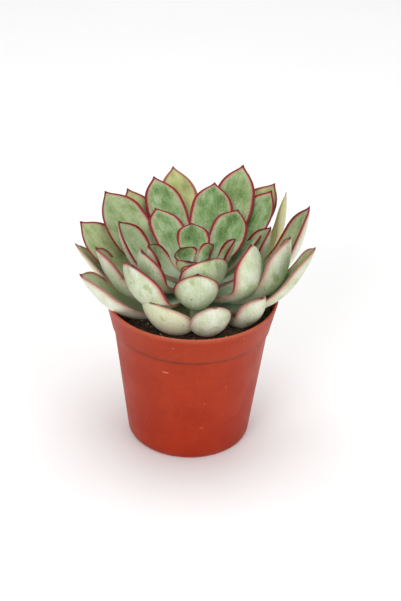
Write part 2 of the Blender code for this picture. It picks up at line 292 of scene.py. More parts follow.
@dataclass(frozen=True)
class LeafFinish:
    """Skin of the leaves: green upper face, bloomed under face, red margin, dark tip.

    Reaches from the margin and the tip are in millimetres. Each scale stretches a
    pattern that is laid in millimetres across and along the leaf.
    """

    name: str
    deep: Colour = tint(66, 98, 38)
    mid: Colour = tint(120, 150, 92)
    light: Colour = tint(174, 190, 150)
    teal: Colour = tint(166, 188, 170)
    cream: Colour = tint(214, 206, 166)
    under_green: Colour = tint(160, 178, 116)
    under_mid: Colour = tint(198, 208, 172)
    under_bloom: Colour = tint(228, 232, 214)
    blush: Colour = tint(206, 118, 122)
    margin: Colour = tint(134, 16, 36)
    margin_pale: Colour = tint(186, 92, 90)
    tip: Colour = tint(92, 18, 28)
    aged: Colour = tint(206, 200, 132)
    dried: Colour = tint(146, 92, 56)
    speck: Colour = tint(70, 60, 40)
    patch_scale: Stretch = (0.16, 0.10, 1.0)
    streak_scale: Stretch = (0.95, 0.07, 1.0)
    fleck_scale: Stretch = (1.1, 0.7, 1.0)
    fine_scale: Stretch = (3.2, 1.6, 1.0)
    rub_scale: Stretch = (0.13, 0.11, 1.0)
    speck_scale: Stretch = (0.11, 0.11, 1.0)
    soft_margin: Span = (3.2, 0.9)
    hard_margin: Span = (1.6, 0.65)
    soft_strength: float = 0.62
    wander: float = 1.1  # how far the margin wanders in and out
    upper_widening: float = 0.45  # wider margin on the upper face
    tip_reach: Span = (2.6, 0.8)
    roughness: Span = (0.40, 0.56)
    streak_depth: float = 0.35 * MM
    fleck_depth: float = 0.3 * MM

    def make(self) -> bpy.types.Material:
        """Build the material.

        Returns:
            The material. It reads what Blade stores at the mesh's points.
        """
        b = Bench(self.name)
        grain = b.arrow("grain")
        rim, tip, inner = b.number("rim"), b.number("tip"), b.number("inner")
        along, age, tone = b.number("along"), b.number("age"), b.number("tone")
        patch = b.cloud(b.stretch(grain, self.patch_scale), 1.0, 4.0, 0.55)
        streak = b.cloud(b.stretch(grain, self.streak_scale), 1.0, 3.0, 0.5)
        fleck = b.cloud(b.stretch(grain, self.fleck_scale), 1.0, 3.0, 0.6)
        fine = b.cloud(b.stretch(grain, self.fine_scale), 1.0, 2.0, 0.5)
        rubbed = b.cloud(b.stretch(grain, self.rub_scale), 1.0, 2.0, 0.6)
        face = self._upper(b, patch, streak, fleck, along, rim, tone)
        back = self._under(b, patch, streak, fleck, rubbed, rim, tone)
        skin = b.blend(inner, back, face)
        yellow = b.maths("MULTIPLY", age, b.ease(patch, 0.25, 0.75, 0.45, 1.0))
        skin = b.blend(yellow, skin, self.aged)
        skin = self._edge(b, skin, fleck, along, rim, tip, inner, age)
        skin = self._marks(b, skin, grain)
        relief = b.weigh((streak, 0.7), (fine, 0.3))
        normal = b.dent(relief, self.streak_depth, b.dent(fleck, self.fleck_depth))
        return b.close({
            "Base Color": skin, "Roughness": b.ease(fleck, 0.25, 0.75, *self.roughness),
            "Normal": normal, "IOR": 1.42, "Specular IOR Level": 0.42,
            "Subsurface Weight": 0.10, "Subsurface Scale": 0.003,
            "Subsurface Radius": (0.6, 1.0, 0.4), "Sheen Weight": 0.08, "Sheen Roughness": 0.5,
        })

    def _upper(self, b: Bench, patch: Socket, streak: Socket, fleck: Socket, along: Socket,
               rim: Socket, tone: Socket) -> Socket:
        """Colour the upper face: deepest in its middle, glaucous at its foot, cream by the margin.

        Args:
            b: The bench that the material is laid out on.
            patch: Broad cloudy pattern.
            streak: Pattern drawn out along the leaf.
            fleck: Small pattern.
            along: Share of the way from the stem to the tip.
            rim: Distance from the margin.
            tone: How much lighter than usual the leaf is; partly its own colour, partly painted
                light and shade.

        Returns:
            The colour's socket.
        """
        # Painted light and shade: each leaf's lightness number also darkens the heart and lightens
        # outer leaves that lie in shade.
        mix = b.weigh((patch, 0.58), (streak, 0.16), (fleck, 0.26), (tone, 0.16))
        mix = b.maths("ADD", mix, b.ease(rim, 7.0, 1.5, -0.01, 0.09))
        mix = b.maths("ADD", mix, b.ease(along, 0.35, 0.85, 0.05, -0.03))
        green = b.ramp(mix, [(0.33, self.deep), (0.48, self.mid), (0.66, self.light)])
        foot = b.maths("MULTIPLY", b.ease(along, 0.62, 0.12), b.ease(streak, 0.3, 0.7, 0.5, 1.0))
        green = b.blend(foot, green, self.teal)
        border = b.ease(rim, 3.6, 1.2, 0.0, 0.6)
        border = b.maths("MULTIPLY", border, b.ease(fleck, 0.2, 0.7, 0.4, 1.0))
        return b.blend(border, green, self.cream)

    def _under(self, b: Bench, patch: Socket, streak: Socket, fleck: Socket, rubbed: Socket,
               rim: Socket, tone: Socket) -> Socket:
        """Colour the under face: powdery bloom, rubbed off in places, rosy at the margin.

        Args:
            b: The bench that the material is laid out on.
            patch: Broad cloudy pattern.
            streak: Pattern drawn out along the leaf.
            fleck: Small pattern.
            rubbed: Pattern of the places where the bloom is rubbed off.
            rim: Distance from the margin.
            tone: How much lighter than usual the leaf is; partly its own colour, partly painted
                light and shade.

        Returns:
            The colour's socket.
        """
        mix = b.weigh((patch, 0.52), (streak, 0.14), (fleck, 0.34), (tone, 0.12))
        stops = [(0.30, self.under_green), (0.46, self.under_mid), (0.64, self.under_bloom)]
        skin = b.ramp(mix, stops)
        skin = b.blend(b.ease(rubbed, 0.58, 0.72, 0.0, 0.75), skin, self.under_green)
        rose = b.maths("MULTIPLY", b.ease(rim, 5.0, 0.8), b.ease(fleck, 0.35, 0.7, 0.2, 0.85))
        rose = b.maths("MULTIPLY", rose, b.number("red"))
        return b.blend(rose, skin, self.blush)

    def _edge(self, b: Bench, skin: Socket, fleck: Socket, along: Socket, rim: Socket, tip: Socket,
              inner: Socket, age: Socket) -> Socket:
        """Draw the red margin, which fades towards the foot, and the dark tip.

        Args:
            b: The bench that the material is laid out on.
            skin: The colour so far.
            fleck: Small pattern that makes the margin wander.
            along: Share of the way from the stem to the tip.
            rim: Distance from the margin.
            tip: Distance from the tip.
            inner: 1 on the upper face, 0 on the under face.
            age: Yellowing, which turns the margin brown.

        Returns:
            The colour's socket.
        """
        wander = b.maths("MULTIPLY", b.maths("SUBTRACT", fleck, 0.5), self.wander)
        reach = b.maths("ADD", rim, wander)
        reach = b.maths("SUBTRACT", reach, b.maths("MULTIPLY", inner, self.upper_widening))
        reach = b.maths("ADD", reach, b.ease(along, 0.78, 0.30, 0.0, 1.7))
        red = b.number("red")
        soft = b.maths("MULTIPLY", b.ease(reach, *self.soft_margin, 0.0, self.soft_strength), red)
        hard = b.maths("MULTIPLY", b.ease(reach, *self.hard_margin), red)
        brown = b.maths("MULTIPLY", age, 0.65)
        skin = b.blend(soft, skin, b.blend(brown, self.margin_pale, self.dried))
        skin = b.blend(hard, skin, b.blend(brown, self.margin, self.dried))
        return b.blend(b.ease(tip, *self.tip_reach), skin, self.tip)

    def _marks(self, b: Bench, skin: Socket, grain: Socket) -> Socket:
        """Put a few tiny dark specks on the skin.

        Args:
            b: The bench that the material is laid out on.
            skin: The colour so far.
            grain: Place across and along the leaf, in millimetres.

        Returns:
            The colour's socket.
        """
        spots = b.cells(b.stretch(grain, self.speck_scale), 1.0)
        size = b.ease(spots.outputs["Distance"], 0.055, 0.03)
        return b.blend(b.maths("MULTIPLY", size, 0.8), skin, self.speck)


@dataclass(frozen=True)
class PotFinish:
    """Moulded plastic in a terracotta colour, dulled and scuffed by handling. Shade is painted
    under the rim band and towards the foot, and a highlight is painted on the lip.
    """

    name: str = "pot_plastic_look"
    body: Colour = tint(166, 43, 2)
    dust_and_top_light: Colour = tint(174, 84, 50)
    deep: Colour = tint(146, 30, 1)
    chalk_and_highlight: Colour = tint(226, 140, 108)
    crease_shadow: Colour = tint(46, 12, 8)
    cloud_scale: float = 45.0
    flow_scale: float = 260.0
    flow_stretch: Stretch = (1.0, 1.0, 0.12)
    fine_scale: float = 1500.0
    speckle_scale: float = 420.0
    scuff_stretch: Stretch = (34.0, 34.0, 150.0)
    nick_scale: float = 85.0
    mark_strength: float = 0.7
    grain_depth: float = 0.12 * MM
    roughness: Span = (0.40, 0.52)

    def make(self) -> bpy.types.Material:
        """Build the material.

        Returns:
            The material. It reads what the pot stores: its height, which paints shade towards the
            foot; its worn places, which also paint the lip's highlight; and the crease, where a
            shadow is painted.
        """
        b = Bench(self.name)
        where = b.place()
        cloud = b.cloud(where, self.cloud_scale, 4.0, 0.55)
        flow = b.cloud(b.stretch(where, self.flow_stretch), self.flow_scale, 3.0, 0.5)
        fine = b.cloud(where, self.fine_scale, 2.0, 0.5)
        speckle = b.cloud(where, self.speckle_scale, 5.0, 0.65)
        skin = b.blend(b.ease(cloud, 0.3, 0.7, 0.0, 0.5), self.body, self.deep)
        skin = b.blend(b.ease(speckle, 0.45, 0.75, 0.0, 0.4), skin, self.deep)
        skin = b.blend(b.ease(speckle, 0.42, 0.25, 0.0, 0.25), skin, self.dust_and_top_light)
        # Painted shade: by its height the pot is paler near the top and darker towards its foot.
        skin = b.blend(b.ease(b.number("level"), 0.1, 1.0, 0.0, 0.16), skin, self.dust_and_top_light)
        skin = b.blend(b.ease(flow, 0.55, 0.8, 0.0, 0.14), skin, self.dust_and_top_light)
        # Partly real rubbing, partly painted highlight: the pale worn colour along the lip stands
        # in for the bright line of light on it.
        rub_and_highlight = b.maths("MULTIPLY", b.number("wear_and_highlight"), b.ease(fine, 0.3, 0.6, 0.35, 0.95))
        skin = b.blend(rub_and_highlight, skin, self.chalk_and_highlight)
        skin = b.blend(self._scuffs(b, where), skin, self.chalk_and_highlight)
        # Painted shadow: a thin dark line in the crease under the rim band, where the step casts
        # shade.
        crease_shadow_mask = b.maths("MULTIPLY", b.number("crease"), b.ease(cloud, 0.3, 0.7, 0.75, 1.0))
        skin = b.blend(crease_shadow_mask, skin, self.crease_shadow)
        grain = b.maths("ADD", fine, b.maths("MULTIPLY", flow, 0.6))
        return b.close({
            "Base Color": skin, "Roughness": b.ease(cloud, 0.3, 0.7, *self.roughness),
            "Normal": b.dent(grain, self.grain_depth), "IOR": 1.47, "Specular IOR Level": 0.22,
        })

    def _scuffs(self, b: Bench, where: Socket) -> Socket:
        """Return where the short scuffs and the nicks lie.

        Args:
            b: The bench that the material is laid out on.
            where: The point's place in the pot.

        Returns:
            Their strength, from 0 to 1.
        """
        flat = b.cells(b.stretch(where, self.scuff_stretch), 1.0)
        small = b.ease(flat.outputs["Distance"], 0.10, 0.04)
        chosen = b.ease(b.cloud(where, 30.0, 1.0), 0.62, 0.66)
        nicks = b.cells(where, self.nick_scale)
        nick = b.ease(nicks.outputs["Distance"], 0.055, 0.03, 0.0, 0.6)
        scuffs = b.maths("MULTIPLY", small, chosen)
        return b.maths("MULTIPLY", b.maths("MAXIMUM", scuffs, nick), self.mark_strength)


@dataclass(frozen=True)
class SoilFinish:
    """Damp potting soil, from peat to pale grit."""

    name: str = "potting_soil_look"
    dark: Colour = tint(44, 36, 26)
    brown: Colour = tint(100, 82, 58)
    pale: Colour = tint(208, 186, 148)
    coarse_scale: float = 420.0
    fine_scale: float = 1900.0
    coarse_depth: float = 1.2 * MM
    fine_depth: float = 0.4 * MM
    roughness: Span = (0.8, 0.98)

    def make(self) -> bpy.types.Material:
        """Build the material.

        Returns:
            The material. It reads the grit number, which makes a crumb pale.
        """
        b = Bench(self.name)
        where = b.place()
        coarse = b.cloud(where, self.coarse_scale, 5.0, 0.65)
        fine = b.cloud(where, self.fine_scale, 3.0, 0.6)
        skin = b.blend(b.ease(coarse, 0.4, 0.7), self.dark, self.brown)
        grit = b.maths("MULTIPLY", b.number("grit"), b.ease(fine, 0.2, 0.6, 0.7, 1.0))
        skin = b.blend(grit, skin, self.pale)
        return b.close({
            "Base Color": skin, "Roughness": b.ease(fine, 0.2, 0.8, *self.roughness),
            "Normal": b.dent(fine, self.fine_depth, b.dent(coarse, self.coarse_depth)),
        })


@dataclass(frozen=True)
class StemFinish:
    """Woody stem with the scars of shed leaves."""

    name: str = "stem_look"
    green: Colour = tint(128, 138, 88)
    bark: Colour = tint(104, 84, 60)
    ring_stretch: Stretch = (0.4, 0.4, 2.4)
    ring_scale: float = 420.0
    ring_depth: float = 0.6 * MM
    roughness: Span = (0.6, 0.85)

    def make(self) -> bpy.types.Material:
        """Build the material.

        Returns:
            The material, ringed about the stem's height.
        """
        b = Bench(self.name)
        rings = b.cloud(b.stretch(b.place(), self.ring_stretch), self.ring_scale, 3.0, 0.6)
        return b.close({
            "Base Color": b.blend(b.ease(rings, 0.35, 0.65), self.green, self.bark),
            "Roughness": b.ease(rings, 0.3, 0.7, *self.roughness),
            "Normal": b.dent(rings, self.ring_depth),
        })


@dataclass(frozen=True)
class FloorFinish:
    """Pale, faintly clouded studio floor."""

    name: str = "pale_floor_look"
    shade: Colour = (0.93, 0.93, 0.93)
    cloud: Colour = (0.96, 0.96, 0.96)
    cloud_scale: float = 6.0

    def make(self) -> bpy.types.Material:
        """Build the material.

        Returns:
            The material.
        """
        b = Bench(self.name)
        skin = b.blend(b.cloud(b.place(), self.cloud_scale, 3.0), self.shade, self.cloud)
        return b.close({"Base Color": skin, "Roughness": 0.85})


# ---- mesh helpers ----------------------------------------------------------


def make_piece(name: str, points: np.ndarray, faces: Sequence[Sequence[int]],
               material: bpy.types.Material,
               marks: dict[str, np.ndarray] | None = None) -> bpy.types.Object:
    """Make a smooth mesh object.

    Args:
        name: The piece's name.
        points: Its corners, one row each.
        faces: Corner numbers of each face.
        material: Its finish.
        marks: Numbers or vectors that the corners carry, by name.

    Returns:
        The new object, linked to the scene.
    """
    mesh = bpy.data.meshes.new(name)
    mesh.from_pydata(points.tolist(), [], faces)
    mesh.materials.append(material)
    for key, values in (marks or {}).items():
        vector = values.ndim == 2
        layer = mesh.attributes.new(key, "FLOAT_VECTOR" if vector else "FLOAT", "POINT")
        layer.data.foreach_set("vector" if vector else "value", values.astype(np.float32).ravel())
    mesh.validate()
    mesh.update()
    mesh.shade_smooth()
    piece = bpy.data.objects.new(name, mesh)
    bpy.context.scene.collection.objects.link(piece)
    return piece


def fit_piece(piece: bpy.types.Object, nodes: Sequence[str]) -> None:
    """Hang a piece on the plant and say what it stands for.

    Args:
        piece: The new piece.
        nodes: The CAD nodes that it replaces.
    """
    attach(piece, BODY)
    if nodes:
        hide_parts(*nodes)
    log.info("%s: %d faces, stands for %s", piece.name, len(piece.data.polygons), list(nodes))


def read_curve(curve: Curve, place: np.ndarray) -> np.ndarray:
    """Read a curve through points, smoothly and without overshoot.

    Args:
        curve: (place, value) points, lowest place first.
        place: Where to read it.

    Returns:
        The values there.
    """
    xs, ys = (np.array(row, float) for row in zip(*curve))
    steps = np.diff(xs)
    slopes = np.diff(ys) / steps
    bends = np.zeros_like(xs)
    for i in range(1, len(xs) - 1):
        if slopes[i - 1] * slopes[i] > 0:
            near, far = 2 * steps[i] + steps[i - 1], steps[i] + 2 * steps[i - 1]
            bends[i] = (near + far) / (near / slopes[i - 1] + far / slopes[i])
    bends[0], bends[-1] = slopes[0], slopes[-1]
    k = np.clip(np.searchsorted(xs, place, side="right") - 1, 0, len(steps) - 1)
    t = (place - xs[k]) / steps[k]
    rise = ys[k] * (1 + 2 * t) * (1 - t) ** 2 + ys[k + 1] * t * t * (3 - 2 * t)
    return rise + steps[k] * (bends[k] * t * (1 - t) ** 2 + bends[k + 1] * t * t * (t - 1))


def skin_rows(rows: int, around: int, closed: bool = True) -> list[tuple[int, ...]]:
    """Return the faces between neighbouring rows of points.

    Args:
        rows: Number of rows.
        around: Points in each row.
        closed: Whether each row is a ring.

    Returns:
        Four-sided faces.
    """
    faces = []
    for i in range(rows - 1):
        for j in range(around if closed else around - 1):
            k = (j + 1) % around
            near, far = i * around, (i + 1) * around
            faces.append((near + j, near + k, far + k, far + j))
    return faces


def cap_rows(rows: int, around: int) -> list[tuple[int, ...]]:
    """Return the faces of rings listed from the inside out, closed at both ends.

    Args:
        rows: Number of rings.
        around: Points in each ring.

    Returns:
        Four-sided faces and the two caps.
    """
    faces = [tuple(reversed(face)) for face in skin_rows(rows, around)]
    faces.append(tuple(range(around)))
    faces.append(tuple((rows - 1) * around + j for j in reversed(range(around))))
    return faces


# ---- leaves ----------------------------------------------------------------


class LeafForm(Enum):
    """How a leaf is formed.

    The values are half the angle that its cross-section bends through, how much of
    the midrib's curl gathers at one place, and how far towards the tip that is.
    """

    FLAT = (24, 0.6, 0.8)
    OPEN = (35, 0.6, 0.8)
    CUPPED = (60, 0.6, 0.8)
    CURVED = (55, 0.8, 1.1)
    SCOOP = (60, 1.0, 1.0)
    HOOD = (45, 1.0, 1.2)
    SHELL = (26, 1.0, 1.0)
    BUD = (50, 0.6, 0.8)

    @property
    def half_angle(self) -> float:
        """Half of the angle that the cross-section bends through, in degrees."""
        return self.value[0]

    @property
    def gather(self) -> float:
        """How much of the curl gathers at one place."""
        return self.value[1]

    @property
    def delay(self) -> float:
        """How far towards the tip that place is."""
        return self.value[2]


@dataclass(frozen=True)
class LeafSpec:
    """One leaf's place, shape and colour; heights count from the pot's lip."""

    name: str
    order: int  # from the heart outwards
    azimuth: float  # degrees
    reach: float  # millimetres from the axis to the tip
    height: float  # millimetres from the lip to the tip
    curl: float  # degrees that the midrib turns through
    width: float  # millimetres
    form: LeafForm
    sweep: float = 0.0  # degrees that the foot lags behind the tip
    roll: float = 0.0  # degrees about the midrib
    lift: float = 0.0  # millimetres that the foot sits above its usual place
    age: float = 0.0  # yellowing, 0 to 1
    # Partly the leaf's own lightness, partly painted light and shade: heart leaves are darkened and
    # shaded outer leaves lightened.
    tone: float = 0.0  # how much lighter than usual, -1 to 1
    red: float = 1.0  # strength of the margin's colour, 0 to 1


FLAT, OPEN, CUPPED, CURVED, SCOOP, HOOD, SHELL, BUD = LeafForm
# The lightness numbers below partly paint light and shade: darker in the heart, lighter on outer
# leaves that lie in shade.
LEAVES = [
    LeafSpec("heart_leaf_1", 0, 30, 14, 31, 25, 15, BUD, 0, -10, tone=-0.9),
    LeafSpec("heart_leaf_2", 1, 130, 12, 26.5, 30, 19, BUD, tone=-0.5),
    LeafSpec("heart_leaf_3", 2, 256, 10, 28.5, 60, 20, BUD, tone=-1),
    LeafSpec("heart_leaf_4", 5, 268, 13, 28, 70, 15, BUD, tone=-1),
    LeafSpec("heart_leaf_5", 6, 5, 25, 38, 50, 15, CUPPED, tone=0.2),
    LeafSpec("inner_leaf_1", 3, 93, 29, 33, 30, 21, FLAT, 6, tone=-0.3),
    LeafSpec("inner_leaf_2", 4, 299, 18, 34, 70, 36, HOOD, 0, 0, -6, tone=-0.5),
    LeafSpec("inner_leaf_3", 7, 160, 29, 27.5, 80, 28, SCOOP, 0, 20, tone=0.5),
    LeafSpec("inner_leaf_4", 8, 276, 28, 30.5, 90, 30, HOOD, 0, 0, -4),
    LeafSpec("inner_leaf_5", 9, 56, 48, 37.5, 40, 26, FLAT, 6),
    LeafSpec("inner_leaf_6", 10, 208, 33.5, 38, 70, 33, HOOD),
    LeafSpec("inner_leaf_7", 11, 333, 37, 45, 92, 36, HOOD, -6, 0, -4),
    LeafSpec("inner_leaf_8", 12, 118, 52, 33.5, 30, 23, FLAT, 9, tone=0.2),
    LeafSpec("middle_leaf_1", 14, 22, 50, 37.5, 78, 30, CURVED, 0, -16, tone=0.8),
    LeafSpec("middle_leaf_2", 15, 158, 49, 38.5, 75, 28, CUPPED, tone=0.9),
    LeafSpec("middle_leaf_3", 17, 78, 58, 47, 30, 28, FLAT, 6),
    LeafSpec("middle_leaf_4", 18, 224, 48, 38.5, 75, 38, SHELL, 0, 0, 3),
    LeafSpec("middle_leaf_5", 19, 351, 57, 46.5, 92, 35, SCOOP, 0, -14, 3, red=0.6, tone=0.4),
    LeafSpec("middle_leaf_6", 20, 113, 67, 47.5, 35, 26, FLAT, 7, tone=0.2),
    LeafSpec("middle_leaf_7", 21, 288, 44, 17.5, 110, 28, HOOD, 0, 0, 3, tone=0.4, red=0.4),
    LeafSpec("middle_leaf_8", 22, 45, 67, 47.5, 40, 27, OPEN, tone=0.1),
    LeafSpec("middle_leaf_9", 23, 182, 58, 31.5, 78, 29, SCOOP, 0, 16, 2, tone=0.9, red=0.8),
    LeafSpec("middle_leaf_10", 24, 322, 52, 18.5, 106, 29, SCOOP, -14, -10, 4.5, red=0.6, tone=0.2),
    LeafSpec("outer_leaf_1", 25, 101, 76, 48.5, 30, 25, FLAT, 5, age=0.7, red=0.8),
    LeafSpec("outer_leaf_2", 26, 236, 43, 16, 95, 35, HOOD, -25, age=0.45, tone=0.9, red=0.5),
    LeafSpec("outer_leaf_3", 27, 12, 70, 54.5, 75, 28, CURVED, 0, -4, age=0.1, tone=0.6),
    LeafSpec("outer_leaf_4", 28, 147, 65.5, 49.5, 50, 34, OPEN, 4, -10, age=0.15, tone=0.6),
    LeafSpec("outer_leaf_5", 30, 65, 70, 56.5, 35, 28, FLAT, 4, age=0.1, tone=0.1),
    LeafSpec("outer_leaf_6", 31, 200, 70, 25.5, 75, 30, CUPPED, 0, 0, -2, age=0.1, tone=1, red=0.6),
    LeafSpec("outer_leaf_7", 32, 342, 74, 47.5, 72, 30, OPEN, -4, 1, -3, age=0.1, red=0.6),
    LeafSpec("outer_leaf_8", 33, 129, 67, 43.5, 35, 26, OPEN, 0, 0, -2, age=0.5),
    LeafSpec("old_leaf_1", 35, 33, 66, 52.5, 85, 18, HOOD, 0, -40, age=1.0, tone=1, red=0.15),
    LeafSpec("old_leaf_2", 36, 168, 70, 39.5, 50, 31, OPEN, 0, -17, age=0.3, tone=0.6),
    LeafSpec("old_leaf_3", 38, 83, 74, 27.5, 40, 27, OPEN, age=0.6),
    LeafSpec("old_leaf_4", 41, 133, 66, 21.5, 40, 26, OPEN, age=0.6),
    LeafSpec("old_leaf_5", 43, 48, 74, 48.5, 30, 30, OPEN, -4, age=0.6),
    LeafSpec("old_leaf_6", 29, 177, 71, 30.5, 62, 22, OPEN, 0, 12, -4, age=0.4, tone=1, red=0.5),
]


@dataclass(frozen=True)
class Crown:
    """Where the leaves start on the stem, from the youngest to the oldest."""

    lip: float  # height of the pot's lip
    base_reach: float = 2.5 * MM
    top_base: float = 16.5 * MM
    low_base: float = -5.5 * MM
    fade: float = 14.0
    tilt: float = 2.0 * MM

    def start(self, spec: LeafSpec) -> float:
        """Work out the height at which a leaf's midrib starts.

        Args:
            spec: The leaf.

        Returns:
            The height in the plant's frame.
        """
        drop = math.exp(-spec.order / self.fade)
        height = self.lip + self.low_base + (self.top_base - self.low_base) * drop
        return height + spec.lift * MM + self.tilt * math.sin(math.radians(spec.azimuth))


@dataclass
class Blade:
    """The skin of one leaf, laid along a curled midrib."""

    spec: LeafSpec
    crown: Crown
    low: Vector
    high: Vector
    rows: int = 44
    spans: int = 18
    steps: int = 80
    tip_crowding: float = 0.55  # share of the rows' spacing that tightens to the tip
    thickness: float = 0.15
    margin: float = 0.5 * MM
    margin_thins_at: float = 2.5 * MM  # half width under which the margin thins
    upper_share: float = 0.25
    section_power: float = 1.7
    roll_power: float = 0.7
    sweep_power: float = 1.5
    wave_height: float = 0.28  # millimetres that the margins rise and fall
    swell_height: float = 0.20  # millimetres that the whole face does
    width_curve: Curve = ((0, .30), (.12, .38), (.28, .56), (.45, .80), (.58, .95), (.69, 1.0),
                          (.79, .95), (.85, .84), (.90, .64), (.94, .39), (.965, .20),
                          (.985, .08), (1, .012))
    thick_curve: Curve = ((0, .6), (.12, .85), (.35, 1), (.6, .95), (.85, .52), (.95, .24),
                          (1, .05))
    cup_curve: Curve = ((0, .6), (.2, .85), (.5, 1), (.8, 1), (1, .9))

    def _turned(self, place: np.ndarray) -> np.ndarray:
        """Return the share of the curl that is done at a place on the midrib."""
        eased = place ** self.spec.form.delay
        return eased - self.spec.form.gather * np.sin(math.tau * eased) / math.tau

    def midrib(self, places: np.ndarray) -> tuple[np.ndarray, np.ndarray, np.ndarray, float]:
        """Lay the midrib from the stem to the tip.

        Args:
            places: Shares of the midrib's length, from 0 to 1.

        Returns:
            Radius, height and slope there, and the midrib's length.
        """
        spec = self.spec
        curl = math.radians(spec.curl)
        start = self.crown.start(spec)
        run = spec.reach * MM - self.crown.base_reach
        rise = self.crown.lip + spec.height * MM - start
        slopes = curl * self._turned((np.arange(self.steps) + 0.5) / self.steps)
        x = np.concatenate([[0.0], np.cumsum(np.cos(slopes))]) / self.steps
        y = np.concatenate([[0.0], np.cumsum(np.sin(slopes))]) / self.steps
        length = math.hypot(run, rise) / math.hypot(x[-1], y[-1])
        first = math.atan2(rise, run) - math.atan2(y[-1], x[-1])
        marks = np.linspace(0.0, 1.0, self.steps + 1)
        x, y = np.interp(places, marks, x), np.interp(places, marks, y)
        radius = self.crown.base_reach + length * (x * math.cos(first) - y * math.sin(first))
        height = start + length * (x * math.sin(first) + y * math.cos(first))
        return radius, height, first + curl * self._turned(places), length

    def _places(self) -> np.ndarray:
        """Spread the rows along the midrib, closer together at the tip.

        Returns:
            Shares of the midrib's length, from 0 to 1.
        """
        even = np.linspace(0.0, 1.0, self.rows)
        crowded = 1.0 - (1.0 - even) ** 2.0
        places = (1.0 - self.tip_crowding) * even + self.tip_crowding * crowded
        return places / places[-1]

    def build(self, material: bpy.types.Material) -> bpy.types.Object:
        """Build the leaf's mesh with what its finish reads.

        Args:
            material: The leaf finish.

        Returns:
            The leaf.
        """
        spec = self.spec
        places = self._places()
        radius, height, slope, length = self.midrib(places)
        width = spec.width * MM
        rng = np.random.default_rng(1000 + spec.order)
        half = read_curve(self.width_curve, places)[:, None] * width / 2
        thick = read_curve(self.thick_curve, places)[:, None] * width * self.thickness
        cup = math.radians(spec.form.half_angle) * read_curve(self.cup_curve, places)[:, None]
        across = np.sin(np.linspace(-1.0, 1.0, self.spans + 1) * math.pi / 2)
        t = np.concatenate([-across, across])[None, :] * np.ones((self.rows, 1))
        face = np.concatenate([np.ones_like(across), -np.ones_like(across)])[None, :]
        share = np.where(face > 0, self.upper_share, 1 - self.upper_share)
        edge = self.margin / 2 * np.clip(half / self.margin_thins_at, 0.1, 1.0)
        depth = face * (share * thick * (1 - np.abs(t) ** self.section_power) + edge)
        bend = cup * t
        side = half * np.sin(bend) / cup - depth * np.sin(bend)
        rise = half * (1 - np.cos(bend)) / cup + depth * np.cos(bend)
        rise = rise + self._ripple(rng, places, t)
        roll = math.radians(spec.roll) * places[:, None] ** self.roll_power
        side, rise = (side * np.cos(roll) - rise * np.sin(roll),
                      side * np.sin(roll) + rise * np.cos(roll))
        r = radius[:, None] - np.sin(slope)[:, None] * rise
        z = height[:, None] + np.cos(slope)[:, None] * rise
        azimuth = np.radians(spec.azimuth - spec.sweep * (1 - places**self.sweep_power))[:, None]
        grid = np.stack([r * np.cos(azimuth) - side * np.sin(azimuth),
                         r * np.sin(azimuth) + side * np.cos(azimuth), z], -1)
        grid = np.clip(grid, np.array(self.low), np.array(self.high))
        marks = self._marks(t, half, places, face, length, rng)
        return self._mesh(grid, marks, material)

    def _ripple(self, rng: np.random.Generator, places: np.ndarray, t: np.ndarray) -> np.ndarray:
        """Return a gentle unevenness that lifts and lowers the margins.

        Args:
            rng: Seeded source of the leaf's own phases.
            places: Shares of the midrib's length.
            t: Place across the leaf, from -1 to 1.

        Returns:
            The rise at each point, in metres.
        """
        phase = rng.uniform(0, math.tau, 4)
        tilt = np.sin(places * 9 + phase[0])[:, None] * t
        wave = tilt + np.sin(places * 14 + phase[1])[:, None] * t**2
        swell = np.sin(places * 6 + phase[2])[:, None] * np.cos(t * 2 + phase[3])
        height = (self.wave_height * wave + self.swell_height * swell) * MM
        return height * np.sin(places * math.pi)[:, None] ** 0.5

    def _marks(self, t: np.ndarray, half: np.ndarray, places: np.ndarray, face: np.ndarray,
               length: float, rng: np.random.Generator) -> dict[str, np.ndarray]:
        """Work out what the finish reads at each point.

        Args:
            t: Place across the leaf, from -1 to 1.
            half: Half of the leaf's width at each row.
            places: Shares of the midrib's length.
            face: 1 on the upper face, -1 on the under face.
            length: The midrib's length.
            rng: Seeded source that shifts the leaf's patterns.

        Returns:
            The numbers and vectors by name; distances are in millimetres.
        """
        ones = np.ones_like(t)
        shift = rng.uniform(0, 60, 2)
        grain = np.stack([t * half / MM + shift[0], places[:, None] * length / MM * ones + shift[1],
                          face * 3.0 * ones + self.spec.order * 7.0], -1)
        return {
            "grain": grain.reshape(-1, 3), "along": (places[:, None] * ones).ravel(),
            "rim": ((1 - np.abs(t)) * half / MM).ravel(),
            "tip": ((1 - places)[:, None] * length / MM * ones).ravel(),
            "inner": (np.where(face > 0, 1.0, 0.0) * ones).ravel(),
            "age": (self.spec.age * ones).ravel(), "tone": (self.spec.tone * ones).ravel(),
            "red": (self.spec.red * ones).ravel(),
        }

    def _mesh(self, grid: np.ndarray, marks: dict[str, np.ndarray],
              material: bpy.types.Material) -> bpy.types.Object:
        """Join the rows into a closed skin.

        Args:
            grid: The points, by row and place in the row.
            marks: What the finish reads.
            material: The leaf finish.

        Returns:
            The leaf.
        """
        rows, around = grid.shape[:2]
        faces = skin_rows(rows, around)
        faces.append(tuple(reversed(range(around))))
        faces.append(tuple((rows - 1) * around + j for j in range(around)))
        return make_piece(self.spec.name + "_skin", grid.reshape(-1, 3), faces, material, marks)


@dataclass
class Rosette:
    """All the leaves, from the heart outwards."""

    crown: Crown
    low: Vector
    high: Vector
    finish: LeafFinish = field(default_factory=lambda: LeafFinish("leaf_look"))

    def build(self) -> None:
        """Build and dress every leaf."""
        material = self.finish.make()
        for spec in LEAVES:
            blade = Blade(spec, self.crown, self.low, self.high)
            fit_piece(blade.build(material), [spec.name])


# ---- pot, soil, stem -------------------------------------------------------


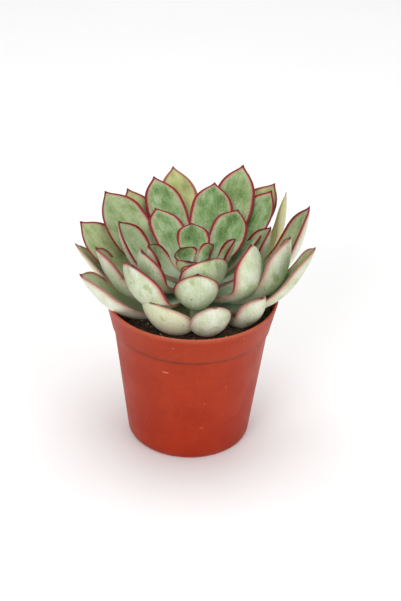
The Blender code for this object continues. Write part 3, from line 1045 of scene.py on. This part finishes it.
@dataclass
class Pot:
    """The turned pot with its rim band and drain holes."""

    high: Vector
    rim_foot_radius: float = 0.0486
    band: float = 0.0191
    shoulder_radius: float = 0.0474
    base_radius: float = 0.0379
    wall: float = 0.0016
    floor: float = 0.0024
    lip_round: float = 0.6 * MM
    lip_spans: int = 6
    foot_round: float = 2.0 * MM
    foot_spans: int = 6
    band_spans: int = 12
    wall_rows: int = 19
    step_round: tuple[float, ...] = (0.2 * MM, 0.6 * MM, 1.1 * MM, 1.8 * MM)
    # Width of the painted shadow line under the rim band.
    crease_width: float = 0.8 * MM
    drain_count: int = 6
    drain_radius: float = 0.004
    drain_circle: float = 0.66  # share of the base's radius
    steps: int = 192

    def inner_radius(self, height: float) -> float:
        """Work out the radius of the inner face.

        Args:
            height: Height above the pot's base.

        Returns:
            The radius there.
        """
        foot = self.high.z - self.band
        if height >= foot:
            share = (height - foot) / self.band
            return self.rim_foot_radius + (self.high.x - self.rim_foot_radius) * share - self.wall
        taper = (self.shoulder_radius - self.base_radius) * height / foot
        return self.base_radius + taper - self.wall

    def _inside(self) -> Profile:
        """Draw the inner face, from the floor to just under the lip.

        Returns:
            That part of the profile.
        """
        foot = self.high.z - self.band
        heights = (self.floor + 0.001, foot - 0.003, foot + 0.001)
        line = [(self.inner_radius(self.floor) - 0.001, self.floor, 0.0)]
        line.append((self.inner_radius(self.floor), heights[0], 0.0))
        line += [(self.inner_radius(height), height, 0.0) for height in heights[1:]]
        near_lip = self.high.z - 0.004
        return line + [(self.inner_radius(near_lip), near_lip, 0.05)]

    def _rim(self) -> Profile:
        """Draw the lip and the band, which is worn at both of its edges; the pale mark on the lip
        is partly real rubbing and partly a painted highlight.

        Returns:
            That part of the profile.
        """
        top, rim = self.high.z, self.high.x
        foot, under_lip = top - self.band, top - self.lip_round
        inner = self.inner_radius(top)
        line = []
        for i in range(self.lip_spans + 1):
            angle = math.pi - math.pi * i / self.lip_spans
            radius = (inner + rim) / 2 + (rim - inner) / 2 * math.cos(angle)
            # The lip's value paints its pale worn edge, partly real rubbing and partly a painted
            # highlight.
            line.append((radius, under_lip + self.lip_round * math.sin(angle), 0.3))
        for i in range(1, self.band_spans):
            share = i / self.band_spans
            radius = rim + (self.rim_foot_radius - rim) * share
            height = under_lip - (self.band - self.lip_round - 0.001) * share
            line.append((radius, height, 0.10 if i == 1 else 0.0))
        line.append((self.rim_foot_radius, foot + 0.7 * MM, 0.12))
        line.append((self.rim_foot_radius - 0.1 * MM, foot + 0.2 * MM, 0.12))
        return line + [(self.rim_foot_radius - 0.4 * MM, foot, 0.0)]

    def _outside(self) -> Profile:
        """Draw the outer wall and the rounded foot.

        Returns:
            That part of the profile.
        """
        foot = self.high.z - self.band
        heights = [foot - drop for drop in self.step_round]
        heights += np.linspace(foot - 0.004, self.foot_round + 0.2 * MM, self.wall_rows).tolist()
        line = []
        for height in heights:
            taper = (self.shoulder_radius - self.base_radius) * height / foot
            line.append((self.base_radius + taper, height, 0.0))
        for i in range(self.foot_spans + 1):
            angle = math.radians(-90 * i / self.foot_spans)
            radius = self.base_radius - self.foot_round + self.foot_round * math.cos(angle)
            line.append((radius, self.foot_round + self.foot_round * math.sin(angle), 0.1))
        return line

    def build(self) -> None:
        """Turn the profile, close the floor, drill it and dress the pot."""
        line = self._inside() + self._rim() + self._outside()
        angles = np.arange(self.steps) * math.tau / self.steps
        r, z, wear_and_highlight = (np.array(row) for row in zip(*line))
        points = np.stack([r[:, None] * np.cos(angles), r[:, None] * np.sin(angles),
                           z[:, None] + 0 * angles], -1)
        faces = cap_rows(len(line), self.steps)
        # The crease marks where the shadow under the rim band is painted.
        crease = np.exp(-(((z - self.high.z + self.band) / self.crease_width) ** 2))
        crease = np.where(r > self.shoulder_radius - 0.6 * MM, crease, 0)
        marks = {"wear_and_highlight": np.repeat(wear_and_highlight, self.steps), "crease": np.repeat(crease, self.steps),
                 # The level is the height share that paints the pot paler at the top and darker at
                 # the foot.
                 "level": np.repeat(z / self.high.z, self.steps)}
        piece = make_piece("pot_shell", points.reshape(-1, 3), faces, PotFinish().make(), marks)
        self._drill(piece)
        fit_piece(piece, ["pot"])

    def _drill(self, piece: bpy.types.Object) -> None:
        """Cut the drain holes through the pot's floor.

        Args:
            piece: The pot, whose mesh is replaced by the drilled one.
        """
        drills = bmesh.new()
        circle = self.base_radius * self.drain_circle
        for i in range(self.drain_count):
            angle = math.tau * i / self.drain_count
            place = (circle * math.cos(angle), circle * math.sin(angle), self.floor / 2)
            bmesh.ops.create_cone(
                drills, cap_ends=True, segments=48, radius1=self.drain_radius,
                radius2=self.drain_radius, depth=4 * self.floor, matrix=Matrix.Translation(place))
        mesh = bpy.data.meshes.new("drain_drills")
        drills.to_mesh(mesh)
        drills.free()
        cutter = bpy.data.objects.new("drain_drills", mesh)
        bpy.context.scene.collection.objects.link(cutter)
        cut = piece.modifiers.new("drain_holes", "BOOLEAN")
        cut.operation, cut.object = "DIFFERENCE", cutter
        bpy.context.view_layer.update()
        evaluated = piece.evaluated_get(bpy.context.evaluated_depsgraph_get())
        drilled = bpy.data.meshes.new_from_object(evaluated)
        piece.modifiers.clear()
        piece.data = drilled
        bpy.data.objects.remove(cutter)


@dataclass
class SoilBed:
    """The soil's rough surface with loose crumbs and grit on it."""

    high: Vector
    pot: Pot
    gap: float = 0.4 * MM
    rows: int = 60
    steps: int = 160
    dip: float = 1.2 * MM  # mean depth of the surface under its highest point
    lump_height: float = 0.9 * MM
    fine_height: float = 0.5 * MM
    crumbs: int = 520
    crumb_size: Span = (0.4 * MM, 1.3 * MM)
    pale_share: float = 0.24
    sliver_share: float = 0.5  # of the pale ones
    sliver_stretch: Stretch = (2.4, 0.5, 0.5)
    crumb_seed: int = 7
    side_heights: tuple[float, ...] = (0.0820, 0.0785, 0.0750, 0.0500, 0.0250, 0.0030)

    @property
    def radius(self) -> float:
        """Radius of the surface."""
        return self.pot.inner_radius(self.high.z) - self.gap

    def _height(self, x: float, y: float) -> float:
        """Work out the unevenness of the surface.

        Args:
            x: Place across.
            y: Place from front to back.

        Returns:
            How far the surface lies from its highest level.
        """
        lump = noise.noise(Vector((x * 90, y * 90, 1.0)))
        fine = noise.noise(Vector((x * 420, y * 420, 5.0)))
        return self.lump_height * lump + self.fine_height * fine - self.dip

    def build(self) -> None:
        """Build the bed and its crumbs, and dress them."""
        material = SoilFinish().make()
        rings = [(self.radius * (i + 1) / self.rows, None) for i in range(self.rows)]
        rings += [(self.pot.inner_radius(z) - self.gap, z) for z in self.side_heights]
        points = []
        for r, side_height in rings:
            for j in range(self.steps):
                angle = math.tau * j / self.steps
                x, y = r * math.cos(angle), r * math.sin(angle)
                top = side_height is None
                points.append((x, y, self.high.z + self._height(x, y) if top else side_height))
        marks = {"grit": np.zeros(len(points))}
        faces = cap_rows(len(rings), self.steps)
        piece = make_piece("soil_bed", np.array(points), faces, material, marks)
        fit_piece(piece, ["soil"])
        fit_piece(self._strew(material), [])

    def _strew(self, material: bpy.types.Material) -> bpy.types.Object:
        """Strew crumbs, grit and pale slivers over the bed.

        Args:
            material: The soil's finish.

        Returns:
            All the crumbs as one piece.
        """
        rng = np.random.default_rng(self.crumb_seed)
        corners, faces = self._crumb()
        points, all_faces, grit = [], [], []
        for _ in range(self.crumbs):
            r = self.radius * 0.985 * math.sqrt(rng.uniform(0.05, 0.98))
            angle = rng.uniform(0, math.tau)
            x, y = r * math.cos(angle), r * math.sin(angle)
            size = rng.uniform(*self.crumb_size)
            pale = 1.0 if rng.uniform() < self.pale_share else 0.0
            shape = corners * rng.uniform(0.6, 1.25, (12, 1)) * rng.uniform(0.5, 1.2, 3) * size
            if pale and rng.uniform() < self.sliver_share:
                shape = shape * np.array(self.sliver_stretch)
            turned_by = rng.uniform(0, math.tau)
            axis = Vector(rng.normal(size=3)).normalized()
            turn = np.array(Matrix.Rotation(turned_by, 3, axis))
            height = self.high.z + self._height(x, y) + size * 0.35
            start = len(points)
            points += (shape @ turn.T + np.array([x, y, height])).tolist()
            all_faces += [tuple(start + k for k in face) for face in faces]
            grit += [pale] * len(corners)
        marks = {"grit": np.array(grit)}
        piece = make_piece("soil_crumbs", np.array(points), all_faces, material, marks)
        piece.data.shade_flat()
        return piece

    def _crumb(self) -> tuple[np.ndarray, list[tuple[int, int, int]]]:
        """Shape one crumb as a twenty-sided solid of radius 1.

        Returns:
            Its corners, and its faces turned outwards.
        """
        golden = (1 + 5**0.5) / 2
        corners = []
        for a in (-1, 1):
            for b in (-golden, golden):
                corners += [(0, a, b), (a, b, 0), (b, 0, a)]
        corners = np.array(corners, float) / math.hypot(1, golden)
        longest_side = 1.06
        faces = []
        for trio in combinations(range(len(corners)), 3):
            a, b, c = corners[list(trio)]
            sides = (np.linalg.norm(a - b), np.linalg.norm(b - c), np.linalg.norm(c - a))
            if max(sides) < longest_side:
                i, j, k = trio
                outward = np.dot(np.cross(b - a, c - a), a + b + c) > 0
                faces.append((i, j, k) if outward else (i, k, j))
        return corners, faces


# ---- studio ----------------------------------------------------------------


@dataclass(frozen=True)
class SoftLight:
    """A square light that faces the plant."""

    name: str
    place: tuple[float, float, float]
    size: float
    power: float  # watts


@dataclass
class Studio:
    """Camera, lights and floor."""

    focus: Vector = field(default_factory=lambda: Vector((0.0, 0.0, 0.060)))
    distance: float = 0.900
    elevation: float = 33.2
    lean: float = 1.71
    lens: float = 87.1  # millimetres
    sensor: float = 36.0  # millimetres
    clip: Span = (0.05, 20.0)
    pan: float = 0.394
    tilt: float = 1.71
    air: float = 0.55  # strength of the light from all round
    floor_half: float = 12.0
    floor_count: int = 9  # points along each side
    lights: tuple[SoftLight, ...] = (
        SoftLight("key_light", (-0.8, -1.5, 1.0), 0.9, 11.5),
        SoftLight("fill_light", (1.4, -1.0, 0.7), 1.2, 8.0),
        SoftLight("top_light", (0.0, 0.3, 1.7), 1.2, 14.0),
    )

    def build(self) -> None:
        """Set up the studio."""
        self._camera()
        self._floor()
        for light in self.lights:
            self._hang(light)
        world = bpy.data.worlds.new("studio_air")
        world.use_nodes = True
        background = world.node_tree.nodes["Background"]
        background.inputs["Color"].default_value = (1.0, 1.0, 1.0, 1.0)
        background.inputs["Strength"].default_value = self.air
        bpy.context.scene.world = world
        bpy.context.scene.view_settings.view_transform = "Standard"

    def _camera(self) -> None:
        """Place the camera at the viewing angle."""
        e, lean = math.radians(self.elevation), math.radians(self.lean)
        back = Vector((0.0, -math.cos(e), math.sin(e)))
        up = Vector((0.0, math.sin(e), math.cos(e)))
        across = Vector((1.0, 0.0, 0.0))
        right = across * math.cos(lean) + up * math.sin(lean)
        above = -across * math.sin(lean) + up * math.cos(lean)
        axis = back - right * math.tan(math.radians(self.pan))
        axis = (axis - above * math.tan(math.radians(self.tilt))).normalized()
        right = (right - axis * right.dot(axis)).normalized()
        above = axis.cross(right)
        data = bpy.data.cameras.new("studio_camera")
        data.lens, data.sensor_width = self.lens, self.sensor
        data.clip_start, data.clip_end = self.clip
        camera = bpy.data.objects.new("studio_camera", data)
        turn = Matrix((right, above, axis)).transposed()
        place = Matrix.Translation(self.focus + back * self.distance)
        camera.matrix_world = place @ turn.to_4x4()
        bpy.context.scene.collection.objects.link(camera)
        bpy.context.scene.camera = camera

    def _floor(self) -> None:
        """Lay the floor."""
        side = np.linspace(-self.floor_half, self.floor_half, self.floor_count)
        x, y = np.meshgrid(side, side)
        points = np.stack([x.ravel(), y.ravel(), np.zeros(x.size)], -1)
        faces = skin_rows(self.floor_count, self.floor_count, closed=False)
        make_piece("studio_floor", points, faces, FloorFinish().make())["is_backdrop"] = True

    def _hang(self, light: SoftLight) -> None:
        """Hang one light.

        Args:
            light: Its name, place, size and power.
        """
        data = bpy.data.lights.new(light.name, "AREA")
        data.shape, data.size, data.energy = "SQUARE", light.size, light.power
        lamp = bpy.data.objects.new(light.name, data)
        lamp.location = light.place
        aim = Vector(light.place) - self.focus
        lamp.rotation_euler = aim.to_track_quat("Z", "Y").to_euler()
        bpy.context.scene.collection.objects.link(lamp)


# ---- whole scene -----------------------------------------------------------


def dress_stem() -> None:
    """Give the CAD model's own stem its finish."""
    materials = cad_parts["stem"].data.materials
    materials.clear()
    materials.append(StemFinish().make())
    log.info("stem: keeps its own shape")


def main() -> None:
    """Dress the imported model."""
    logging.basicConfig(level=logging.INFO, format="%(message)s")
    cad_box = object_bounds()
    pot = Pot(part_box("pot")[1])
    pot.build()
    SoilBed(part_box("soil")[1], pot).build()
    dress_stem()
    Rosette(Crown(pot.high.z), *cad_box).build()
    Studio().build()


if __name__ == "__main__":
    main()
